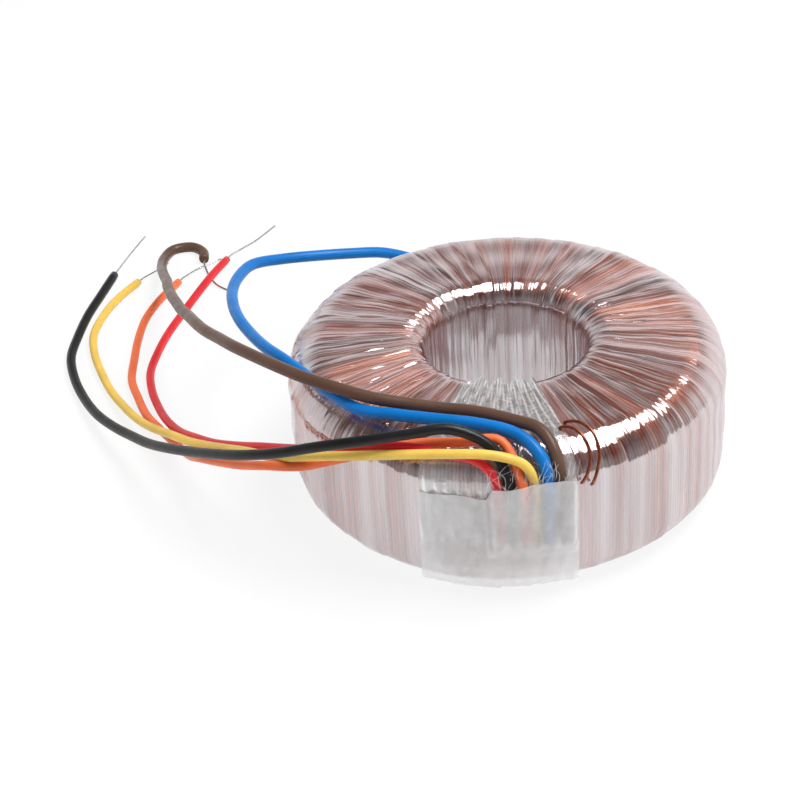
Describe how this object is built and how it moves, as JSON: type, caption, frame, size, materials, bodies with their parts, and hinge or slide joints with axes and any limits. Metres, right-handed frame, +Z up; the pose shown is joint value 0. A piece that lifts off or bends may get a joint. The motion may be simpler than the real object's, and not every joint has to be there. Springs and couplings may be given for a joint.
{
  "type": "toroidal transformer",
  "caption": "Ring-shaped mains transformer wound in copper wire under clear film, with insulated flying leads leaving the rim under a film patch.",
  "frame": {"origin": "on the axis of the ring, in the plane of the face it stands on", "axes": "+Z up along the ring's axis, the leads leave the rim towards -Y"},
  "size_m": [0.1749, 0.1901, 0.0476],
  "materials": {
    "core_steel": "wound strip, satin",
    "cap_plastic": "matte moulded",
    "inner_film": "translucent polyester film",
    "enamelled_wire": "enamelled copper wire, gloss",
    "outer_film": "clear polyester film, gloss",
    "patch_film": "milky translucent film",
    "brown_pvc": "satin pvc insulation",
    "blue_pvc": "satin pvc insulation",
    "black_pvc": "satin pvc insulation",
    "orange_pvc": "satin pvc insulation",
    "yellow_pvc": "satin pvc insulation",
    "red_pvc": "satin pvc insulation",
    "tinned_wire": "tinned copper, satin"
  },
  "bodies": {
    "root": {"core": "core_steel", "core_cap_top": "cap_plastic", "core_cap_bottom": "cap_plastic", "core_film": "inner_film", "primary_winding": "enamelled_wire", "barrier_film": "inner_film", "secondary_winding_1": "enamelled_wire", "secondary_winding_2": "enamelled_wire", "finish_loop": "enamelled_wire", "outer_film": "outer_film", "lead_pad": "outer_film", "lead_patch": "patch_film", "lead_joints": "enamelled_wire", "brown_lead": "brown_pvc", "blue_lead": "blue_pvc", "black_lead": "black_pvc", "orange_lead": "orange_pvc", "yellow_lead": "yellow_pvc", "red_lead": "red_pvc", "brown_wire": "tinned_wire", "blue_wire": "tinned_wire", "black_wire": "tinned_wire", "orange_wire": "tinned_wire", "yellow_wire": "tinned_wire", "red_wire": "tinned_wire"}
  },
  "joints": []
}
